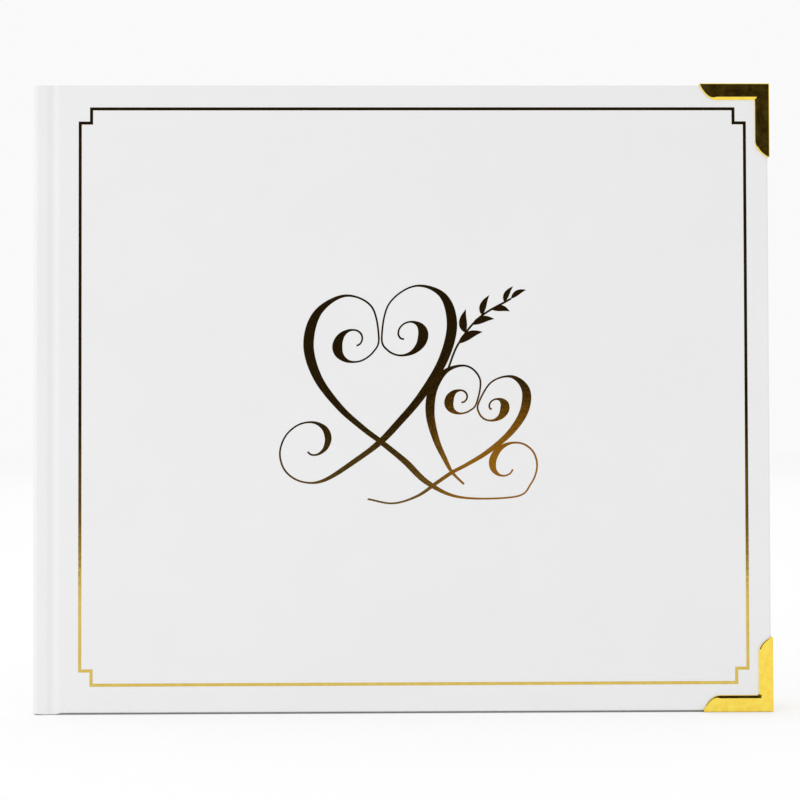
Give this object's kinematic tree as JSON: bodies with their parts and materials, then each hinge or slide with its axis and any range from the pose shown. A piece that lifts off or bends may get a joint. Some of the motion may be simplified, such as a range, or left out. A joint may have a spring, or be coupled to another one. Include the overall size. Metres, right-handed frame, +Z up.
{
  "type": "wedding guest book",
  "caption": "Landscape hardcover guest book standing upright, with a white covering, a gold foil border, gold metal cover corners, and covers and leaves that open.",
  "frame": {"origin": "under the middle of the closed book's box, on the surface that it stands on", "axes": "+X from the spine to the fore-edge, +Z up the height of the book, and the front cover faces -Y"},
  "size_m": [0.2546, 0.0242, 0.2172],
  "materials": {
    "covering": "smooth white leatherette, satin",
    "board": "dense grey bookbinding board",
    "leaf_paper": "uncoated off-white paper",
    "lining_gauze": "open cotton gauze",
    "band_silk": "woven cream silk over a cord",
    "gold_metal": "polished gold-coloured sheet",
    "gold_foil": "hot-stamped metallic gold foil"
  },
  "bodies": {
    "spine": {"spine_board": "board", "spine_wrap": "covering", "spine_lining": "lining_gauze", "sewn_gutter": "leaf_paper", "head_band": "band_silk", "tail_band": "band_silk", "front_joint_strip": "covering", "back_joint_strip": "covering"},
    "front_cover": {"front_board": "board", "front_cover_wrap": "covering", "front_pastedown": "leaf_paper", "front_top_corner": "gold_metal", "front_bottom_corner": "gold_metal", "foil_border": "gold_foil"},
    "back_cover": {"back_board": "board", "back_cover_wrap": "covering", "back_pastedown": "leaf_paper", "back_top_corner": "gold_metal", "back_bottom_corner": "gold_metal"},
    "front_flyleaf": {"front_flyleaf": "leaf_paper"},
    "leaf_section_01": {"leaf_section_01": "leaf_paper"},
    "leaf_section_02": {"leaf_section_02": "leaf_paper"},
    "leaf_section_03": {"leaf_section_03": "leaf_paper"},
    "leaf_section_04": {"leaf_section_04": "leaf_paper"},
    "leaf_section_05": {"leaf_section_05": "leaf_paper"},
    "leaf_section_06": {"leaf_section_06": "leaf_paper"},
    "leaf_section_07": {"leaf_section_07": "leaf_paper"},
    "leaf_section_08": {"leaf_section_08": "leaf_paper"},
    "leaf_section_09": {"leaf_section_09": "leaf_paper"},
    "leaf_section_10": {"leaf_section_10": "leaf_paper"},
    "leaf_section_11": {"leaf_section_11": "leaf_paper"},
    "leaf_section_12": {"leaf_section_12": "leaf_paper"},
    "leaf_section_13": {"leaf_section_13": "leaf_paper"},
    "leaf_section_14": {"leaf_section_14": "leaf_paper"},
    "leaf_section_15": {"leaf_section_15": "leaf_paper"},
    "leaf_section_16": {"leaf_section_16": "leaf_paper"},
    "leaf_section_17": {"leaf_section_17": "leaf_paper"},
    "leaf_section_18": {"leaf_section_18": "leaf_paper"},
    "back_flyleaf": {"back_flyleaf": "leaf_paper"}
  },
  "joints": [
    {"name": "front_cover_hinge", "type": "hinge", "parent": "spine", "child": "front_cover", "pos_m": [-0.1194, -0.0118, 0.1086], "axis": [0, 0, -1], "range_deg": [0, 175]},
    {"name": "front_flyleaf_turn", "type": "hinge", "parent": "spine", "child": "front_flyleaf", "pos_m": [-0.1168, -0.00785, 0.1086], "axis": [0, 0, -1], "range_deg": [0, 61]},
    {"name": "leaf_section_01_turn", "type": "hinge", "parent": "spine", "child": "leaf_section_01", "pos_m": [-0.1168, -0.00722, 0.1086], "axis": [0, 0, -1], "range_deg": [0, 55]},
    {"name": "leaf_section_02_turn", "type": "hinge", "parent": "spine", "child": "leaf_section_02", "pos_m": [-0.1168, -0.00637, 0.1086], "axis": [0, 0, -1], "range_deg": [0, 49]},
    {"name": "leaf_section_03_turn", "type": "hinge", "parent": "spine", "child": "leaf_section_03", "pos_m": [-0.1168, -0.00553, 0.1086], "axis": [0, 0, -1], "range_deg": [0, 43]},
    {"name": "leaf_section_04_turn", "type": "hinge", "parent": "spine", "child": "leaf_section_04", "pos_m": [-0.1168, -0.00468, 0.1086], "axis": [0, 0, -1], "range_deg": [0, 37]},
    {"name": "leaf_section_05_turn", "type": "hinge", "parent": "spine", "child": "leaf_section_05", "pos_m": [-0.1168, -0.00382, 0.1086], "axis": [0, 0, -1], "range_deg": [0, 31]},
    {"name": "leaf_section_06_turn", "type": "hinge", "parent": "spine", "child": "leaf_section_06", "pos_m": [-0.1168, -0.00298, 0.1086], "axis": [0, 0, -1], "range_deg": [0, 25]},
    {"name": "leaf_section_07_turn", "type": "hinge", "parent": "spine", "child": "leaf_section_07", "pos_m": [-0.1168, -0.00213, 0.1086], "axis": [0, 0, -1], "range_deg": [0, 19]},
    {"name": "leaf_section_08_turn", "type": "hinge", "parent": "spine", "child": "leaf_section_08", "pos_m": [-0.1168, -0.00128, 0.1086], "axis": [0, 0, -1], "range_deg": [0, 13]},
    {"name": "leaf_section_09_turn", "type": "hinge", "parent": "spine", "child": "leaf_section_09", "pos_m": [-0.1168, -0.00042, 0.1086], "axis": [0, 0, -1], "range_deg": [0, 7]},
    {"name": "back_cover_hinge", "type": "hinge", "parent": "spine", "child": "back_cover", "pos_m": [-0.1194, 0.0118, 0.1086], "axis": [0, 0, 1], "range_deg": [0, 175]},
    {"name": "back_flyleaf_turn", "type": "hinge", "parent": "spine", "child": "back_flyleaf", "pos_m": [-0.1168, 0.00785, 0.1086], "axis": [0, 0, 1], "range_deg": [0, 61]},
    {"name": "leaf_section_18_turn", "type": "hinge", "parent": "spine", "child": "leaf_section_18", "pos_m": [-0.1168, 0.00722, 0.1086], "axis": [0, 0, 1], "range_deg": [0, 55]},
    {"name": "leaf_section_17_turn", "type": "hinge", "parent": "spine", "child": "leaf_section_17", "pos_m": [-0.1168, 0.00637, 0.1086], "axis": [0, 0, 1], "range_deg": [0, 49]},
    {"name": "leaf_section_16_turn", "type": "hinge", "parent": "spine", "child": "leaf_section_16", "pos_m": [-0.1168, 0.00553, 0.1086], "axis": [0, 0, 1], "range_deg": [0, 43]},
    {"name": "leaf_section_15_turn", "type": "hinge", "parent": "spine", "child": "leaf_section_15", "pos_m": [-0.1168, 0.00468, 0.1086], "axis": [0, 0, 1], "range_deg": [0, 37]},
    {"name": "leaf_section_14_turn", "type": "hinge", "parent": "spine", "child": "leaf_section_14", "pos_m": [-0.1168, 0.00382, 0.1086], "axis": [0, 0, 1], "range_deg": [0, 31]},
    {"name": "leaf_section_13_turn", "type": "hinge", "parent": "spine", "child": "leaf_section_13", "pos_m": [-0.1168, 0.00298, 0.1086], "axis": [0, 0, 1], "range_deg": [0, 25]},
    {"name": "leaf_section_12_turn", "type": "hinge", "parent": "spine", "child": "leaf_section_12", "pos_m": [-0.1168, 0.00213, 0.1086], "axis": [0, 0, 1], "range_deg": [0, 19]},
    {"name": "leaf_section_11_turn", "type": "hinge", "parent": "spine", "child": "leaf_section_11", "pos_m": [-0.1168, 0.00128, 0.1086], "axis": [0, 0, 1], "range_deg": [0, 13]},
    {"name": "leaf_section_10_turn", "type": "hinge", "parent": "spine", "child": "leaf_section_10", "pos_m": [-0.1168, 0.00042, 0.1086], "axis": [0, 0, 1], "range_deg": [0, 7]}
  ],
  "couplings": [
    {"joint": "front_flyleaf_turn", "follows": "front_cover_hinge", "ratio": 0.34857},
    {"joint": "leaf_section_01_turn", "follows": "front_cover_hinge", "ratio": 0.31428},
    {"joint": "leaf_section_02_turn", "follows": "front_cover_hinge", "ratio": 0.28},
    {"joint": "leaf_section_03_turn", "follows": "front_cover_hinge", "ratio": 0.24571},
    {"joint": "leaf_section_04_turn", "follows": "front_cover_hinge", "ratio": 0.21143},
    {"joint": "leaf_section_05_turn", "follows": "front_cover_hinge", "ratio": 0.17714},
    {"joint": "leaf_section_06_turn", "follows": "front_cover_hinge", "ratio": 0.14286},
    {"joint": "leaf_section_07_turn", "follows": "front_cover_hinge", "ratio": 0.10857},
    {"joint": "leaf_section_08_turn", "follows": "front_cover_hinge", "ratio": 0.074285},
    {"joint": "leaf_section_09_turn", "follows": "front_cover_hinge", "ratio": 0.04},
    {"joint": "back_flyleaf_turn", "follows": "back_cover_hinge", "ratio": 0.34857},
    {"joint": "leaf_section_18_turn", "follows": "back_cover_hinge", "ratio": 0.31428},
    {"joint": "leaf_section_17_turn", "follows": "back_cover_hinge", "ratio": 0.28},
    {"joint": "leaf_section_16_turn", "follows": "back_cover_hinge", "ratio": 0.24571},
    {"joint": "leaf_section_15_turn", "follows": "back_cover_hinge", "ratio": 0.21143},
    {"joint": "leaf_section_14_turn", "follows": "back_cover_hinge", "ratio": 0.17714},
    {"joint": "leaf_section_13_turn", "follows": "back_cover_hinge", "ratio": 0.14286},
    {"joint": "leaf_section_12_turn", "follows": "back_cover_hinge", "ratio": 0.10857},
    {"joint": "leaf_section_11_turn", "follows": "back_cover_hinge", "ratio": 0.074285},
    {"joint": "leaf_section_10_turn", "follows": "back_cover_hinge", "ratio": 0.04}
  ]
}
